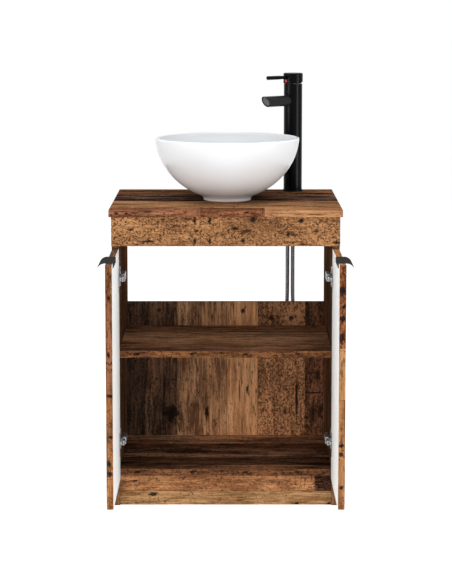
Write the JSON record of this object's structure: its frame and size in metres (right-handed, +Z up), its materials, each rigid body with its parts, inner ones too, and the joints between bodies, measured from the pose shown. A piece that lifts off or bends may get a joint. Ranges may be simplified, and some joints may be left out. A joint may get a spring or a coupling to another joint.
{
  "type": "bathroom vanity cabinet",
  "caption": "Floor-standing bathroom vanity with hinged doors, open shelf space, a round vessel basin and a tall single-lever mixer tap.",
  "frame": {"origin": "on the floor, centred between the side panels, under the middle of the plinth board's thickness", "axes": "+Z up, +X to the right, the doors and the front face -Y"},
  "size_m": [0.5848, 0.7307, 1.04],
  "materials": {
    "plank_side": "printed melamine, satin",
    "plank_shelf": "printed melamine, satin",
    "plank_back": "printed melamine, satin",
    "plank_tan": "printed melamine, satin",
    "nickel": "nickel plated",
    "dowel_wood": "bare beech",
    "plank_top": "printed melamine, satin",
    "door_board": "white inner face, plank print outside",
    "black_steel": "matt black",
    "ceramic": "white glaze",
    "chrome": "polished",
    "seal_rubber": "matt",
    "white_plastic": "matt",
    "grey_plastic": "matt",
    "brass": "machined",
    "dot": "half red, half blue",
    "braid": "woven steel"
  },
  "bodies": {
    "cabinet": {"left_side_panel": "plank_side", "right_side_panel": "plank_side", "bottom_panel": "plank_shelf", "shelf": "plank_shelf", "back_panel": "plank_back", "front_apron": "plank_tan", "plinth": "plank_tan", "front_rail": "plank_side", "rear_rail": "plank_side", "shelf_pins": "nickel", "dowels": "dowel_wood", "cam_locks": "nickel", "worktop_screws": "nickel", "panel_screws": "nickel", "wall_brackets": "nickel", "worktop": "plank_top", "hinge_plates": "nickel", "hinge_arms": "nickel", "arm_pins": "nickel", "adjusting_screws": "nickel", "basin": "ceramic", "waste_body": "chrome", "waste_seal": "seal_rubber", "waste_nut": "white_plastic", "tap_base_ring": "black_steel", "tap_body": "black_steel", "tap_spout": "black_steel", "tap_aerator": "grey_plastic", "tap_cartridge": "white_plastic", "tap_shank": "brass", "tap_gasket": "seal_rubber", "tap_washer": "nickel", "tap_nut": "brass", "cold_hose": "braid", "cold_hose_nut": "brass", "hot_hose": "braid", "hot_hose_nut": "brass"},
    "left_long_link": {"left_long_links": "nickel"},
    "left_door_leaf": {"left_door": "door_board", "left_hinge_cups": "nickel", "left_cup_pins": "nickel", "left_cup_screws": "nickel", "left_handle": "black_steel", "left_handle_screws": "nickel"},
    "left_short_link": {"left_short_links": "nickel"},
    "right_long_link": {"right_long_links": "nickel"},
    "right_door_leaf": {"right_door": "door_board", "right_hinge_cups": "nickel", "right_cup_pins": "nickel", "right_cup_screws": "nickel", "right_handle": "black_steel", "right_handle_screws": "nickel"},
    "right_short_link": {"right_short_links": "nickel"},
    "tap_yoke": {"tap_swivel": "nickel"},
    "tap_handle": {"tap_stem": "brass", "tap_cap": "black_steel", "tap_lever": "black_steel", "tap_indicator": "dot"},
    "waste_stopper": {"waste_plug": "chrome"}
  },
  "joints": [
    {"name": "left_long_link_pivot", "type": "hinge", "parent": "cabinet", "child": "left_long_link", "pos_m": [-0.2486, -0.00874, 0.3605], "axis": [0, 0, 1], "range_deg": [-26.72, 0]},
    {"name": "left_door_swing", "type": "hinge", "parent": "left_long_link", "child": "left_door_leaf", "pos_m": [-0.2594, -0.0251, 0.3605], "axis": [0, 0, 1], "range_deg": [0, 116.71]},
    {"name": "left_short_link_pivot", "type": "hinge", "parent": "left_door_leaf", "child": "left_short_link", "pos_m": [-0.2618, -0.0283, 0.3605], "axis": [0, 0, 1], "range_deg": [-122.25, 0]},
    {"name": "right_long_link_pivot", "type": "hinge", "parent": "cabinet", "child": "right_long_link", "pos_m": [0.2486, -0.00874, 0.3605], "axis": [0, 0, -1], "range_deg": [-26.72, 0]},
    {"name": "right_door_swing", "type": "hinge", "parent": "right_long_link", "child": "right_door_leaf", "pos_m": [0.2594, -0.0251, 0.3605], "axis": [0, 0, -1], "range_deg": [0, 116.71]},
    {"name": "right_short_link_pivot", "type": "hinge", "parent": "right_door_leaf", "child": "right_short_link", "pos_m": [0.2618, -0.0283, 0.3605], "axis": [0, 0, -1], "range_deg": [-122.25, 0]},
    {"name": "tap_turn", "type": "hinge", "parent": "cabinet", "child": "tap_yoke", "pos_m": [0.176, 0.4025, 1.012], "axis": [0, 0, 1], "range_deg": [-45, 45]},
    {"name": "tap_lift", "type": "hinge", "parent": "tap_yoke", "child": "tap_handle", "pos_m": [0.176, 0.4025, 1.012], "axis": [-0.6561, 0.7547, 0], "range_deg": [0, 20]},
    {"name": "plug_rise", "type": "slide", "parent": "cabinet", "child": "waste_stopper", "axis": [0, 0, 1], "range_m": [0, 0.008]}
  ],
  "couplings": [
    {"joint": "left_long_link_pivot", "follows": "left_door_swing", "ratio": -0.22886},
    {"joint": "left_short_link_pivot", "follows": "left_door_swing", "ratio": -1.0474},
    {"joint": "right_long_link_pivot", "follows": "right_door_swing", "ratio": -0.22886},
    {"joint": "right_short_link_pivot", "follows": "right_door_swing", "ratio": -1.0474}
  ]
}
